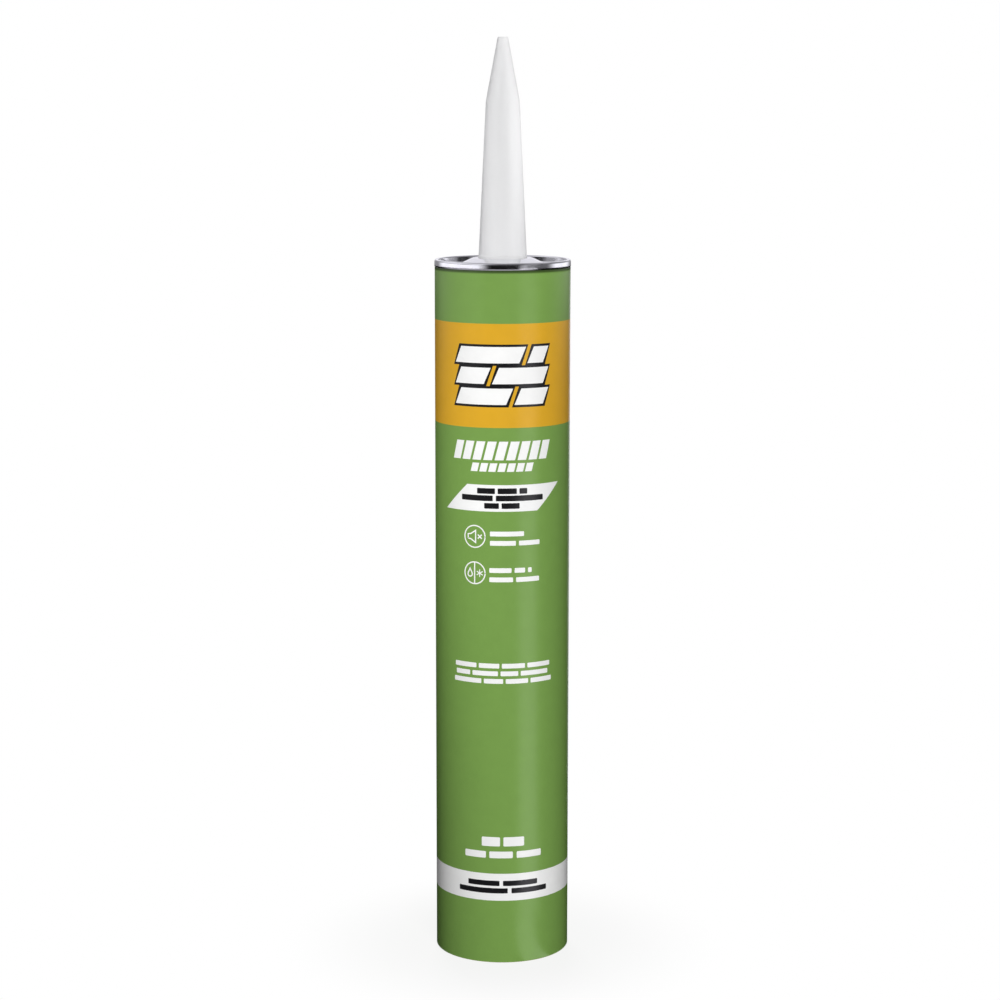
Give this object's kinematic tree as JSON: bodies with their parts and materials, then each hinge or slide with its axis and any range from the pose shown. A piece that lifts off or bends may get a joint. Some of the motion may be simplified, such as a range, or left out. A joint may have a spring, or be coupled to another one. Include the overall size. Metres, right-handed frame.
{
  "type": "construction adhesive cartridge",
  "caption": "Large paperboard adhesive cartridge with a printed wrap, a seamed tinplate end, a long closed taper nozzle and a sliding rear plunger.",
  "frame": {"origin": "centre of the tube's open rear edge, which is the lowest point as it stands", "axes": "+Z along the cartridge's axis from the rear edge to the nozzle's tip; the printed front faces -Y"},
  "size_m": [0.0628, 0.0628, 0.4266],
  "materials": {
    "tube": "matte kraft paperboard, foil-lined bore",
    "label": "satin varnished print",
    "metal_end": "bright tinplate",
    "nozzle": "satin white polyethylene",
    "foil_seal": "satin foil",
    "plunger": "satin natural polyethylene",
    "adhesive": "smooth off-white paste"
  },
  "bodies": {
    "cartridge": {"tube": "tube", "label": "label", "metal_end": "metal_end", "nozzle": "nozzle", "foil_seal": "foil_seal", "adhesive": "adhesive"},
    "plunger": {"plunger": "plunger"}
  },
  "joints": [
    {"name": "plunger_slide", "type": "slide", "parent": "cartridge", "child": "plunger", "axis": [0, 0, 1], "range_m": [0, 0.2945], "deforming": ["adhesive"]}
  ]
}
